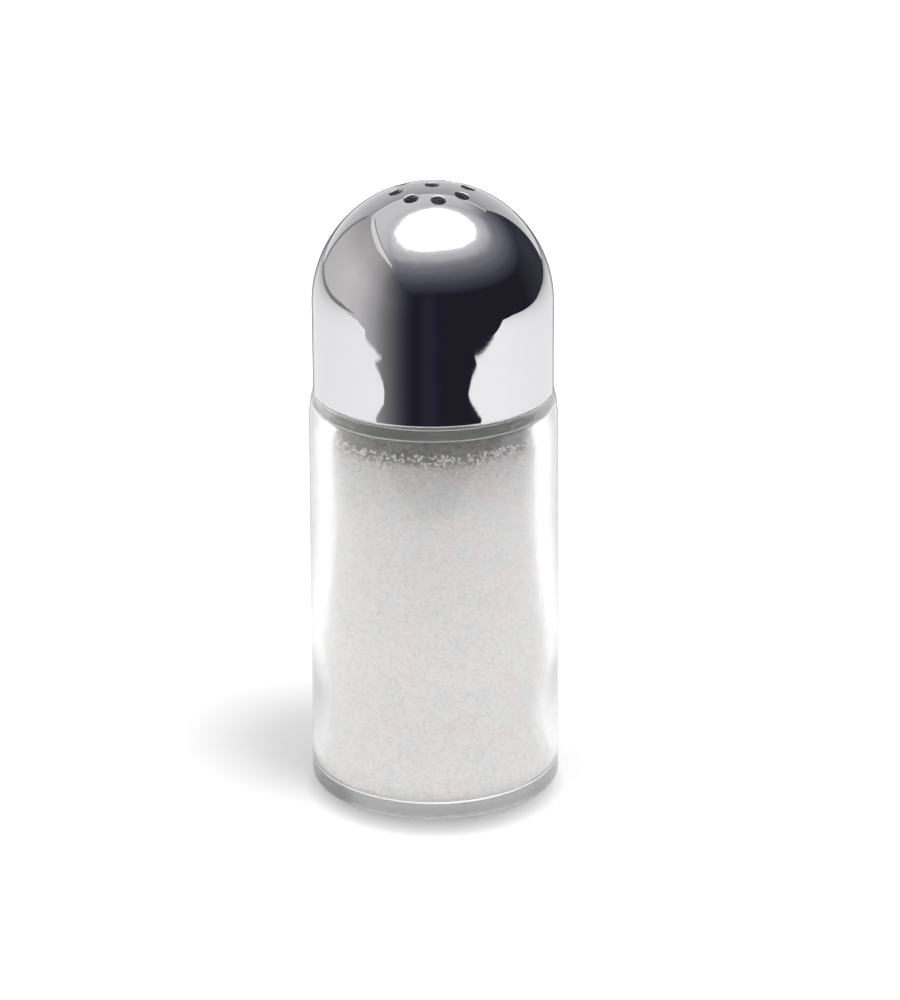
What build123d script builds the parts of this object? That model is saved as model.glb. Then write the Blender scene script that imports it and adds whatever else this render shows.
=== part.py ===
from build123d import *
import os

# Table shaker: a blown glass jar with a threaded neck, filled with salt and closed by a
# pressed steel dome that screws down on it. Millimetres, +Z up, the foot of the jar on the
# XY plane and its axis on Z. The front is -Y.

# Jar, outside
jar_height = 67.0  # foot to the ledge under the cap
jar_radius = 20.0  # where the flank meets the shoulder
foot_spread = 0.4  # how much wider the flank is at the foot
heel_radius = 0.9
foot_ring_width = 3.0  # flat ring that the jar stands on
push_up = 0.8  # hollow of the underside at its centre
shoulder_drop = 5.0
shoulder_step = 0.65
ledge_edge_radius = 0.4

# Jar, inside: the blown wall runs thick and thin on its way up
wall_heel = 2.15
wall_heel_height = 3.4
wall_low = 2.45
wall_low_height = 6.4
wall_thin = 2.25
wall_thin_height = 23.4
wall_middle = 2.65
wall_middle_height = 28.0
wall_top = 3.6
wall_top_height = 48.0
floor_thickness = 1.7  # at the corner of the floor
floor_crown = 0.9  # rise of the floor at its centre
floor_corner_radius = 1.3
inner_shoulder_height = 3.1  # from the full bore up to the neck
inner_foot_radius = 0.6
inner_neck_radius = 1.0

# Cap
cap_setback = 0.1  # how far the cap stands in from the edge of the ledge
steel = 0.6
cap_skirt = 14.4
rim_gap = 0.15
rim_radius = 0.2
hole_diameter = 2.2
hole_count = 8
hole_ring_radius = 5.7
hole_start_angle = 10.0  # from the front, so that two holes flank the front line
hole_edge_radius = 0.22

# Insert
insert_air = 0.25  # air between the insert and the steel, bridged by ribs
insert_wall = 1.85  # outside the root of the thread
insert_recess = 0.6  # how far the insert stops above the rim of the cap
insert_edge = 0.4
flange_thickness = 1.6
flange_setback = 0.3  # how far the flange stays out of the bore of the neck
rib_count = 16
rib_width = 0.9
rib_fit = 0.02

# Screw thread, right-handed, one start, the same helix on the neck and in the cap
pitch = 4.23
thread_turns = 1.25
thread_depth = 1.15
thread_clearance = 0.3
thread_lap = 0.4  # how deep a ridge is rooted in its wall
crest_radius = 0.25
neck_ridge_root = 2.2
neck_ridge_crest = 0.9
neck_thread_rise = 1.9  # ledge to the middle of the ridge at its start
neck_thread_angle = 40.0  # where the ridge starts, from +X
cap_ridge_root = 1.5
cap_ridge_crest = 0.7
cap_thread_lead = 0.3  # foot of the insert to the ridge

# Neck and seal
neck_height = 10.2
neck_wall = 2.4
lip_radius = 0.7
neck_root_radius = 0.5
seal_thickness = 0.8
seal_gap = 0.05
seal_edge_clearance = 0.15

# Salt
salt_drop = 6.4  # ledge to the fill level
salt_edge_radius = 1.4  # the top slumps away from the glass
salt_clearance = 0.1

foot_radius = jar_radius + foot_spread
flank_height = jar_height - shoulder_drop
ledge_radius = jar_radius - shoulder_step
cap_radius = ledge_radius - cap_setback
cap_bore_radius = cap_radius - steel
cap_rim = jar_height + rim_gap
dome_base = cap_rim + cap_skirt
insert_radius = cap_bore_radius - insert_air
insert_bottom = cap_rim + insert_recess
cap_thread_radius = insert_radius - insert_wall
neck_radius = cap_thread_radius - thread_depth - thread_clearance
neck_bore_radius = neck_radius - neck_wall
neck_top = jar_height + neck_height
seal_bottom = neck_top + seal_gap
flange_bottom = seal_bottom + seal_thickness + seal_gap
flange_top = flange_bottom + flange_thickness
flange_opening_radius = neck_bore_radius + flange_setback

os.makedirs("parts", exist_ok=True)


def flank_radius(height):
    """Outer radius of the jar at a height on its straight flank."""
    return foot_radius - foot_spread * height / flank_height


def cavity_half(inset=0.0):
    """Half section of the space inside the jar and its neck, drawn in by an inset."""
    stations = [
        (wall_heel, wall_heel_height),
        (wall_low, wall_low_height),
        (wall_thin, wall_thin_height),
        (wall_middle, wall_middle_height),
        (wall_top, wall_top_height),
    ]
    wall = [(flank_radius(height) - thickness - inset, height) for thickness, height in stations]
    shoulder_foot = (wall[-1][0], jar_height - inner_shoulder_height - inset)
    neck_foot = (neck_bore_radius - inset, jar_height - inset)
    floor_middle = (0, floor_thickness + floor_crown + inset)
    floor_edge = (wall[0][0], floor_thickness + inset)
    with BuildSketch() as half:
        with BuildLine():
            TangentArc(floor_middle, floor_edge, tangent=(1, 0))
            Line(floor_edge, wall[0])
            Spline(*wall, tangents=[(0, 1), (0, 1)])
            Polyline(
                wall[-1],
                shoulder_foot,
                neck_foot,
                (neck_foot[0], neck_top),
                (0, neck_top),
                floor_middle,
            )
        make_face()
        corners = half.vertices()
        fillet(corners.sort_by_distance(floor_edge)[0], floor_corner_radius)
        fillet(corners.sort_by_distance(shoulder_foot)[0], inner_foot_radius)
        fillet(corners.sort_by_distance(neck_foot)[0], inner_neck_radius)
    return half.sketch


def ridge_section(root, crest):
    """Section of a ridge: x runs out of its wall to the crest, y across the ridge."""
    slope = (root - crest) / 2 / thread_depth
    buried = root / 2 + slope * thread_lap
    with BuildSketch() as section:
        with BuildLine():
            Polyline(
                (-thread_lap, buried),
                (thread_depth, crest / 2),
                (thread_depth, -crest / 2),
                (-thread_lap, -buried),
                close=True,
            )
        make_face()
        fillet(section.vertices().sort_by(Axis.X)[-2:], crest_radius)
    return section.sketch


def thread_ridge(root_radius, start_height, root, crest, outward):
    """A ridge on a helix that starts over +X, turned down into its wall at both ends."""
    side = 1 if outward else -1
    section = ridge_section(root, crest)
    with BuildPart() as ridge:
        with BuildLine() as path:
            Helix(pitch, pitch * thread_turns, root_radius, center=(0, 0, start_height))
        for end, sense in ((0, 1), (1, -1)):
            place = path.line @ end
            out_of_wall = Vector(place.X, place.Y, 0).normalized() * side
            across = Plane(place, x_dir=out_of_wall, z_dir=path.line % end)
            with BuildSketch(across):
                add(section)
            turning_axis = Axis(place - out_of_wall * thread_lap, across.y_dir * sense)
            revolve(axis=turning_axis, revolution_arc=90)
        with BuildSketch(Plane(path.line @ 0, x_dir=(side, 0, 0), z_dir=path.line % 0)):
            add(section)
        sweep(path=path.line, is_frenet=True)
    return ridge.part


neck_ridge = thread_ridge(
    neck_radius, jar_height + neck_thread_rise, neck_ridge_root, neck_ridge_crest, outward=True
)

# The cap's ridge bears on the lower flank of the neck's ridge, one clearance below it
neck_slope = (neck_ridge_root - neck_ridge_crest) / 2 / thread_depth
bearing_half_width = neck_ridge_root / 2 - neck_slope * thread_clearance
ridge_drop = bearing_half_width + cap_ridge_crest / 2 + thread_clearance
cap_thread_start = insert_bottom + cap_thread_lead + cap_ridge_root / 2
rise_past_neck_start = cap_thread_start + ridge_drop - jar_height - neck_thread_rise
cap_thread_angle = neck_thread_angle + 360 * rise_past_neck_start / pitch
cap_ridge = thread_ridge(
    cap_thread_radius, cap_thread_start, cap_ridge_root, cap_ridge_crest, outward=False
)

# Jar: one turned outline, the threaded neck on it, and the blown space inside taken out
with BuildPart() as glass_jar:
    with BuildSketch(Plane.XZ) as jar_outline:
        with BuildLine():
            TangentArc((0, push_up), (foot_radius - foot_ring_width, 0), tangent=(1, 0))
            Polyline(
                (foot_radius - foot_ring_width, 0),
                (foot_radius, 0),
                (jar_radius, flank_height),
            )
            TangentArc(
                (jar_radius, flank_height),
                (ledge_radius, jar_height),
                tangent=(jar_radius - foot_radius, flank_height),
            )
            Polyline(
                (ledge_radius, jar_height),
                (neck_radius, jar_height),
                (neck_radius, neck_top),
                (0, neck_top),
                (0, push_up),
            )
        make_face()
        corners = jar_outline.vertices()
        fillet(corners.sort_by_distance((foot_radius, 0))[0], heel_radius)
        fillet(corners.sort_by_distance((ledge_radius, jar_height))[0], ledge_edge_radius)
        fillet(corners.sort_by_distance((neck_radius, jar_height))[0], neck_root_radius)
        fillet(corners.sort_by_distance((neck_radius, neck_top))[0], lip_radius)
    revolve(axis=Axis.Z)
    add(neck_ridge, rotation=(0, 0, neck_thread_angle))
    with BuildSketch(Plane.XZ):
        add(cavity_half())
    revolve(axis=Axis.Z, mode=Mode.SUBTRACT)
    mouth = glass_jar.edges().filter_by(GeomType.CIRCLE).group_by(Axis.Z)[-1]
    fillet(mouth.sort_by(SortBy.RADIUS)[0], lip_radius)

# Salt: the space inside the jar up to the fill level, clear of the glass
with BuildPart() as salt_fill:
    with BuildSketch(Plane.XZ):
        add(cavity_half(salt_clearance))
    revolve(axis=Axis.Z)
    split(bisect_by=Plane.XY.offset(jar_height - salt_drop), keep=Keep.BOTTOM)
    fillet(salt_fill.edges().group_by(Axis.Z)[-1], salt_edge_radius)

# Seal: a flat ring between the lip of the jar and the flange of the insert
with BuildPart() as seal_ring:
    with BuildSketch(Plane.XY.offset(seal_bottom)):
        Circle(cap_thread_radius - seal_edge_clearance)
        Circle(neck_bore_radius, mode=Mode.SUBTRACT)
    extrude(amount=seal_thickness)

# Insert: a moulded sleeve with the cap's thread, a flange over the seal, and crush ribs
# outside that hold it in the steel
with BuildPart() as threaded_insert:
    with BuildSketch(Plane.XZ) as insert_outline:
        with BuildLine():
            Polyline(
                (insert_radius, insert_bottom),
                (insert_radius, flange_top),
                (flange_opening_radius, flange_top),
                (flange_opening_radius, flange_bottom),
                (cap_thread_radius, flange_bottom),
                (cap_thread_radius, insert_bottom),
                close=True,
            )
        make_face()
        edges_to_ease = [
            (insert_radius, insert_bottom),
            (insert_radius, flange_top),
            (flange_opening_radius, flange_top),
            (cap_thread_radius, insert_bottom),
        ]
        corners = insert_outline.vertices()
        fillet([corners.sort_by_distance(place)[0] for place in edges_to_ease], insert_edge)
    revolve(axis=Axis.Z)
    with BuildSketch(Plane.XY.offset(insert_bottom + 2 * insert_edge)):
        with PolarLocations(insert_radius, rib_count):
            Rectangle(4 * insert_air, rib_width)
        Circle(cap_bore_radius - rib_fit, mode=Mode.INTERSECT)
    extrude(amount=flange_top - insert_bottom - 4 * insert_edge)
    add(cap_ridge, rotation=(0, 0, cap_thread_angle))

# Cap: a straight skirt under a half sphere, drawn from one sheet and punched on top
between_holes = hole_start_angle - 90 + 180 / hole_count
cap_section = Plane(
    (0, 0, 0),
    x_dir=Vector(1, 0, 0).rotate(Axis.Z, between_holes),
    z_dir=Vector(0, -1, 0).rotate(Axis.Z, between_holes),
)


def cap_half(radius):
    """Half section of a skirt under a half sphere, solid to the axis."""
    crown = (0, dome_base + radius)
    with BuildSketch() as half:
        with BuildLine():
            Polyline((0, cap_rim), (radius, cap_rim), (radius, dome_base))
            TangentArc((radius, dome_base), crown, tangent=(0, 1))
            Line(crown, (0, cap_rim))
        make_face()
    return half.sketch


def round_a_hole(edge):
    """Whether an edge is the outer mouth of a hole."""
    start = edge @ 0
    off_the_middle = (start - Vector(0, 0, dome_base)).length
    on_the_crown = start.Z > dome_base + steel
    return edge.is_closed and on_the_crown and off_the_middle > cap_radius - steel / 2


with BuildPart() as dome_cap:
    with BuildSketch(cap_section):
        add(cap_half(cap_radius))
    revolve(axis=Axis.Z)
    with BuildSketch(cap_section):
        add(cap_half(cap_bore_radius))
    revolve(axis=Axis.Z, mode=Mode.SUBTRACT)
    fillet(dome_cap.edges().filter_by(GeomType.CIRCLE).group_by(Axis.Z)[0], rim_radius)
    with BuildSketch(Plane.XY.offset(dome_base)):
        Circle(hole_diameter / 2)
        with PolarLocations(hole_ring_radius, hole_count, start_angle=hole_start_angle - 90):
            Circle(hole_diameter / 2)
    extrude(amount=2 * cap_radius, mode=Mode.SUBTRACT)
    fillet(dome_cap.edges().filter_by(round_a_hole), hole_edge_radius)

glass_jar.part.label = "glass_jar"
salt_fill.part.label = "salt_fill"
seal_ring.part.label = "seal_ring"
threaded_insert.part.label = "threaded_insert"
dome_cap.part.label = "dome_cap"

for piece in (glass_jar, salt_fill, seal_ring, threaded_insert, dome_cap):
    export_step(piece.part, "parts/" + piece.part.label + ".step")
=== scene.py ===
import math
import random

import bpy
import numpy as np
from mathutils import Matrix, Vector
from mathutils.geometry import delaunay_2d_cdt


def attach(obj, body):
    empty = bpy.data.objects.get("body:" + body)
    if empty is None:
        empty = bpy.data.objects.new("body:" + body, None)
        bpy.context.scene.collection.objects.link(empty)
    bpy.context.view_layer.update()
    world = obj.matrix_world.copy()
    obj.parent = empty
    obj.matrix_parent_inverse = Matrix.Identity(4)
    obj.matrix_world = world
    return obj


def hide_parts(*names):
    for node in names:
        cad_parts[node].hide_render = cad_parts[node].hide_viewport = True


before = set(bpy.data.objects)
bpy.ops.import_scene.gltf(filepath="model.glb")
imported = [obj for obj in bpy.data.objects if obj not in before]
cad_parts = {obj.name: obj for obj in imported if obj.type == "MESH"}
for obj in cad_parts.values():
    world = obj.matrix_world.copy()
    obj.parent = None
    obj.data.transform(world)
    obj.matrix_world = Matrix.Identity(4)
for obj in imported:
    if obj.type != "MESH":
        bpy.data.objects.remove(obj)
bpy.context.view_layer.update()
scene = bpy.context.scene
scene.view_settings.view_transform = "Standard"
scene.cycles.max_bounces = 32  # light crosses the thick glass of the heel many times
scene.cycles.glossy_bounces = 24
scene.cycles.transmission_bounces = 24
mm = 0.001  # every size below is written in millimetres
print("frame loaded:", ", ".join(sorted(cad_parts)))


def linear(code):  # an sRGB hex colour as Blender's linear values
    parts = [int(code[i:i + 2], 16) / 255 for i in (0, 2, 4)]
    return [p / 12.92 if p <= 0.04045 else ((p + 0.055) / 1.055) ** 2.4 for p in parts] + [1.0]


# Each input is a value, a socket or a node, which stands for the output that it has in use.
# A colour mix takes its share at 0 and its two colours at 6 and 7.
def addNode(tree, kind, inputs=None, **settings):
    node = tree.nodes.new(kind)
    for name, value in settings.items():
        setattr(node, name, value)
    for name, value in (inputs or {}).items():
        if isinstance(value, bpy.types.Node):
            value = next(socket for socket in value.outputs if socket.enabled)
        if isinstance(value, bpy.types.NodeSocket):
            tree.links.new(value, node.inputs[name])
        else:
            node.inputs[name].default_value = value
    return node


def newMaterial(name):
    material = bpy.data.materials.new(name)
    material.use_nodes = True
    material.node_tree.nodes.clear()
    return material, material.node_tree


def measure(tree):  # a point's place, its x, y and z, and its distance from the axis, in millimetres
    coordinates = addNode(tree, "ShaderNodeTexCoord")
    place = addNode(
        tree, "ShaderNodeVectorMath", {0: coordinates.outputs["Object"], 1: (1 / mm,) * 3},
        operation="MULTIPLY",
    )
    flat = addNode(tree, "ShaderNodeVectorMath", {0: place, 1: (1, 1, 0)}, operation="MULTIPLY")
    far = addNode(tree, "ShaderNodeVectorMath", {0: flat}, operation="LENGTH")
    split = addNode(tree, "ShaderNodeSeparateXYZ", {"Vector": place}).outputs
    return {"place": place, "x": split["X"], "y": split["Y"], "z": split["Z"], "far": far}


def colourBy(tree, source, stops):  # colours between stops of (value, hex colour), steady past the ends
    low, high = stops[0][0], stops[-1][0]
    share = addNode(tree, "ShaderNodeMapRange", {"Value": source, "From Min": low, "From Max": high})
    ramp = addNode(tree, "ShaderNodeValToRGB", {"Fac": share})
    elements = ramp.color_ramp.elements
    elements.remove(elements[-1])
    for number, (value, code) in enumerate(stops):
        position = (value - low) / (high - low)
        element = elements[0] if number == 0 else elements.new(position)
        element.position = position
        element.color = linear(code)
    return ramp


# Camera: a long lens above the table, looking down on the shaker from the front
photo = {
    "distance": 600.0,      # from the axis of the shaker
    "aim": 50.0,            # height of the point that the elevation is measured from
    "elevation": 21.014,    # degrees above the horizon
    "pitch": 21.220,        # degrees down
    "yaw": 0.264,
    "roll": -0.262,
    "lens": 133.51,
    "sensor": 36.0,         # along the 1000 pixel side
}


def placeCamera():
    elevation = math.radians(photo["elevation"])
    pitch = math.radians(photo["pitch"])
    yaw = math.radians(photo["yaw"])
    roll = math.radians(photo["roll"])
    eye = Vector((
        0,
        -photo["distance"] * math.cos(elevation),
        photo["aim"] + photo["distance"] * math.sin(elevation),
    )) * mm
    ahead = Vector((
        math.sin(yaw) * math.cos(pitch),
        math.cos(yaw) * math.cos(pitch),
        -math.sin(pitch),
    ))
    level = ahead.cross(Vector((0, 0, 1))).normalized()
    above = level.cross(ahead)
    right = level * math.cos(roll) + above * math.sin(roll)
    up = above * math.cos(roll) - level * math.sin(roll)
    data = bpy.data.cameras.new("photoCamera")
    data.sensor_fit = "VERTICAL"
    data.sensor_height = photo["sensor"]
    data.lens = photo["lens"]
    data.clip_start, data.clip_end = 10 * mm, 20.0
    camera = bpy.data.objects.new("photoCamera", data)
    camera.matrix_world = Matrix((
        (right.x, up.x, -ahead.x, eye.x),
        (right.y, up.y, -ahead.y, eye.y),
        (right.z, up.z, -ahead.z, eye.z),
        (0, 0, 0, 1),
    ))
    scene.collection.objects.link(camera)
    scene.camera = camera


placeCamera()
print("camera placed")

# Studio: a white sheet on a dark table in a room that is pale at the back and left, with a lit
# diffuser overhead. Only the sheet is in view; the rest lights the shaker and is reflected in it.
studio = {
    "ceiling": 1035.0,      # height of the diffuser above the table
    "back": 1125.0,
    "left": 900.0,
    "right": 740.0,
    "front": 1100.0,
    "cardFoot": -2.0,       # walls start just below the sheet
    "cardGap": 2.0,         # between the left wall and its skirting
    "capHeight": 80.0,      # from which the cap sees the room
    "sheet": "F0F0F0",
    "sheetReach": 4000.0,
    "sheetDrop": 0.03,      # below the foot of the jar
    "tableRise": 0.5,       # the dark table lies this far above the sheet's edge
    "footEdge": 19.5,       # the foot covers the sheet up to here
    # Painted contact shadow on the paper in front of the foot, by distance from a point in front of the axis
    "contactShadow": [(14.4, "B0B0B0"), (16, "BCBCBC"), (18, "D2D2D2"), (20, "F0F0F0"), (21.5, "FFFFFF")],
    "contactFront": 6.0,    # how far in front
    # Painted dark reflection: the sheet behind the shaker is darker where the very edges of steel and glass
    # reflect it
    "reflectedShadeBehind": "8E8E96",
    "behind": (0.88, 0.96),  # where it starts and is full, as y over the distance from the axis
    "sheetGlow": [(60, 0.08), (260, 0.35)],  # (distance, glow): keeps the far sheet as white as the near
    "paintedFootLight": 0.12,       # painted light on the sheet under the jar, standing for the light that the glass leads down onto it
    "farWhite": (100, 130),  # from where the sheet is full white to the camera, from every side
    "sideShare": 3.0,       # at the sides and behind that is this many times further
    # Colours of the room round the table, clockwise from the back in degrees, 0 at the front
    "room": [
        (-180, "C9C8C8"), (-139, "C9C7C7"), (-92, "D6D4D2"), (-73, "CBC9CA"), (-65, "BDBABE"),
        (-56, "A9A6AA"), (-48, "868687"), (-40, "6B6B6E"), (-32, "4A4B53"), (-24, "2E2F39"),
        (-16, "1F1D28"), (-6, "2B2B39"), (1, "282736"), (8, "221F2D"), (22, "211B29"), (46, "1C1823"),
        (90, "1E1A22"), (102, "282830"), (130, "3A3C44"), (180, "2A2B30"),
    ],
    # From the foot of a wall to its top
    "wallShade": [(0, "FFFFFF"), (0.4, "FFFFFF"), (0.7, "E4E4E4"), (1, "D8D8D8")],
    "backWall": [(0, "F0F0F2"), (0.3, "CFCFD1"), (1, "A8A8AA")],
    "skirting": "8A8989",
    "cornerShade": "8C8C90",
    "cornerSize": (110, 880),  # width and height of the shaded corner of the room
    "hotSpot": (45, 15, 560, 450),  # centre and half sizes of the bright middle of the diffuser
    "hotSlant": 0.25,       # leans the glow from the front left to the back right
    "hotLevel": 1.8,
    "hotEdge": (0.9, 1.04),  # where it fades to the halo
    # The glow round the hot spot, by distance from its centre as a share of its size
    "halo": [
        (0, "FFFFFF"), (0.98, "FFFFFF"), (1.05, "E6E5E8"), (1.22, "CBCACD"), (1.43, "B8B8BC"),
        (1.64, "939399"), (1.86, "7E7F86"), (2.1, "75767E"), (2.4, "64656F"), (2.8, "585A64"),
        (3.2, "474954"), (4.2, "333440"), (5, "23222C"),
    ],
    "haloWave": (170, 0.22),  # length and depth of its unevenness
    # Colours of the diffuser from the front right to the back left, and how the right side stays dark
    "pale": [(-420, "16161B"), (0, "8E8E90"), (400, "CFCFD0"), (700, "D9D9DA")],
    "paleToward": (-0.6, 0.8, 0),
    "paleLimit": (-1.4, 900),
    "litEdge": "ECEAE4",
    "keyPower": 0.9, "keySize": 900.0, "keyPlace": (45, 15, 1000),
    "sidePower": 3.1, "sideSize": 240.0, "sidePlace": (165, -105, 870),
    "fillPowers": [2.9, 3.7], "fillSize": 900.0, "fillPlaces": [(-800, -380, 300), (720, -420, 300)],
    "lampAim": (0, 0, 40),
}
# Front edge of the white sheet, from left to right, as (x, y): past it the table is dark
sheetEdge = [
    (-1300, 520), (-1017, 330), (-842, 29), (-511, -147), (-286, -137), (-231, -108), (-205, -141),
    (-178, -166), (-196, -137), (-181, -148), (-166, -156), (-157, -156), (-153, -149), (-159, -136),
    (-165, -118), (-118, -140), (-60, -152), (0, -155), (60, -154), (110, -150), (143, -145),
    (132, -163), (119, -181), (116, -188),
    (134, -189), (155, -182), (150, -194), (175, -174), (199, -154), (216, -138), (276, -150),
    (537, -224), (655, -126), (642, 37), (640, 240), (784, 562), (1300, 700),
]
tableFront = [(1300, -1300), (-1300, -1300)]  # and the front corners of the table
# The strip along the foot of the left wall, as (y, z)
skirtingEdge = [(1125, -2), (-250, -2), (60, 45), (1125, 45)]
# What edges the diffuser, as (distance from the left wall, y, drop below the ceiling)
diffuserEdges = {
    "leftStrip": [(55, -660, 2), (2, -60, 50), (2, 700, 20), (40, 980, 2), (79, 640, 2), (79, -560, 2)],
    "leftSeam": [(79, -600, 2), (98, -600, 2), (98, 850, 2), (79, 850, 2)],
    "backStrip": [(60, 1060, 2), (1640, 1020, 2), (1640, 1085, 2), (60, 1120, 2)],
}


def unseen(thing, throughGlass=False):  # lights and is reflected, but is out of the picture
    thing.visible_camera = False
    thing.visible_transmission = throughGlass
    thing.visible_shadow = False
    return thing


def cardMesh(name, corners, material, faces=((0, 1, 2, 3),)):
    mesh = bpy.data.meshes.new(name)
    mesh.from_pydata([Vector(c) * mm for c in corners], [], faces)
    mesh.materials.append(material)
    card = bpy.data.objects.new(name, mesh)
    scene.collection.objects.link(card)
    return card


def upright(name, start, end, material, top, throughGlass=False):  # a wall card on the table
    foot = studio["cardFoot"]
    corners = [(*start, foot), (*end, foot), (*end, top), (*start, top)]
    return unseen(cardMesh(name, corners, material), throughGlass)


def plainGlow(name, code):
    material, tree = newMaterial(name)
    glow = addNode(tree, "ShaderNodeEmission", {"Color": linear(code)})
    addNode(tree, "ShaderNodeOutputMaterial", {"Surface": glow})
    return material


def wallColour(tree, at):  # by the direction in which a wall stands, a little darker toward its top
    toFront = addNode(tree, "ShaderNodeMath", {0: at["y"], 1: -1.0}, operation="MULTIPLY")
    bearing = addNode(tree, "ShaderNodeMath", {0: at["x"], 1: toFront}, operation="ARCTAN2")
    degrees = addNode(tree, "ShaderNodeMath", {0: bearing}, operation="DEGREES")
    share = addNode(tree, "ShaderNodeMath", {0: at["z"], 1: studio["ceiling"]}, operation="DIVIDE")
    around = colourBy(tree, degrees, studio["room"])
    upward = colourBy(tree, share, studio["wallShade"])
    return addNode(
        tree, "ShaderNodeMix", {0: 1.0, 6: around, 7: upward}, data_type="RGBA", blend_type="MULTIPLY",
    )


def ceilingColour(tree, at):  # palest at the back left
    slope, start = studio["paleLimit"]
    leftBack = addNode(
        tree, "ShaderNodeVectorMath", {0: at["place"], 1: studio["paleToward"]}, operation="DOT_PRODUCT",
    )
    notRight = addNode(tree, "ShaderNodeMath", {0: at["x"], 1: slope, 2: start}, operation="MULTIPLY_ADD")
    least = addNode(tree, "ShaderNodeMath", {0: leftBack, 1: notRight}, operation="MINIMUM")
    return colourBy(tree, least, studio["pale"])


def hotDistance(tree, at):  # from the middle of the hot spot, as a share of its size
    # The place as seen from the cap, carried up to the height of the diffuser
    eye = studio["capHeight"]
    rise = addNode(tree, "ShaderNodeMath", {0: at["z"], 1: eye}, operation="SUBTRACT")
    lift = addNode(tree, "ShaderNodeMath", {0: rise, 1: 1.0}, operation="MAXIMUM")
    scale = addNode(tree, "ShaderNodeMath", {0: studio["ceiling"] - eye, 1: lift}, operation="DIVIDE")
    carried = addNode(tree, "ShaderNodeVectorMath", {0: at["place"], "Scale": scale}, operation="SCALE")

    centreX, centreY, halfX, halfY = studio["hotSpot"]
    middle = (centreX, centreY, 0)
    off = addNode(tree, "ShaderNodeVectorMath", {0: carried, 1: middle}, operation="SUBTRACT")
    shares = addNode(tree, "ShaderNodeVectorMath", {0: off, 1: (halfX, halfY, 1)}, operation="DIVIDE")
    split = addNode(tree, "ShaderNodeSeparateXYZ", {"Vector": shares}).outputs
    x, y = split["X"], split["Y"]
    squareX = addNode(tree, "ShaderNodeMath", {0: x, 1: x}, operation="MULTIPLY")
    squares = addNode(tree, "ShaderNodeMath", {0: y, 1: y, 2: squareX}, operation="MULTIPLY_ADD")
    product = addNode(tree, "ShaderNodeMath", {0: x, 1: y}, operation="MULTIPLY")
    slanted = addNode(
        tree, "ShaderNodeMath", {0: product, 1: -studio["hotSlant"], 2: squares}, operation="MULTIPLY_ADD",
    )
    distance = addNode(tree, "ShaderNodeMath", {0: slanted}, operation="SQRT")

    length, depth = studio["haloWave"]
    cloud = addNode(
        tree, "ShaderNodeTexNoise", {"Vector": at["place"], "Scale": 1 / length, "Detail": 3.0},
    )
    wave = addNode(tree, "ShaderNodeMath", {0: cloud, 1: depth, 2: -depth / 2}, operation="MULTIPLY_ADD")
    return addNode(tree, "ShaderNodeMath", {0: distance, 1: wave}, operation="ADD")


def roomMaterial(name, colourOf):  # a card with its own colour, and the glow of the diffuser on it
    material, tree = newMaterial(name)
    at = measure(tree)
    away = hotDistance(tree, at)
    inner, outer = studio["hotEdge"]
    level = addNode(
        tree, "ShaderNodeMapRange",
        {"Value": away, "From Min": inner, "From Max": outer, "To Min": studio["hotLevel"], "To Max": 1.0},
    )
    colour = addNode(
        tree, "ShaderNodeVectorMath", {0: colourOf(tree, at), 1: colourBy(tree, away, studio["halo"])},
        operation="MAXIMUM",
    )
    glow = addNode(tree, "ShaderNodeEmission", {"Color": colour, "Strength": level})
    addNode(tree, "ShaderNodeOutputMaterial", {"Surface": glow})
    return material


def backWallMaterial():
    material, tree = newMaterial("back wall")
    share = addNode(
        tree, "ShaderNodeMath", {0: measure(tree)["z"], 1: studio["ceiling"]}, operation="DIVIDE",
    )
    glow = addNode(tree, "ShaderNodeEmission", {"Color": colourBy(tree, share, studio["backWall"])})
    addNode(tree, "ShaderNodeOutputMaterial", {"Surface": glow})
    return material


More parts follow.
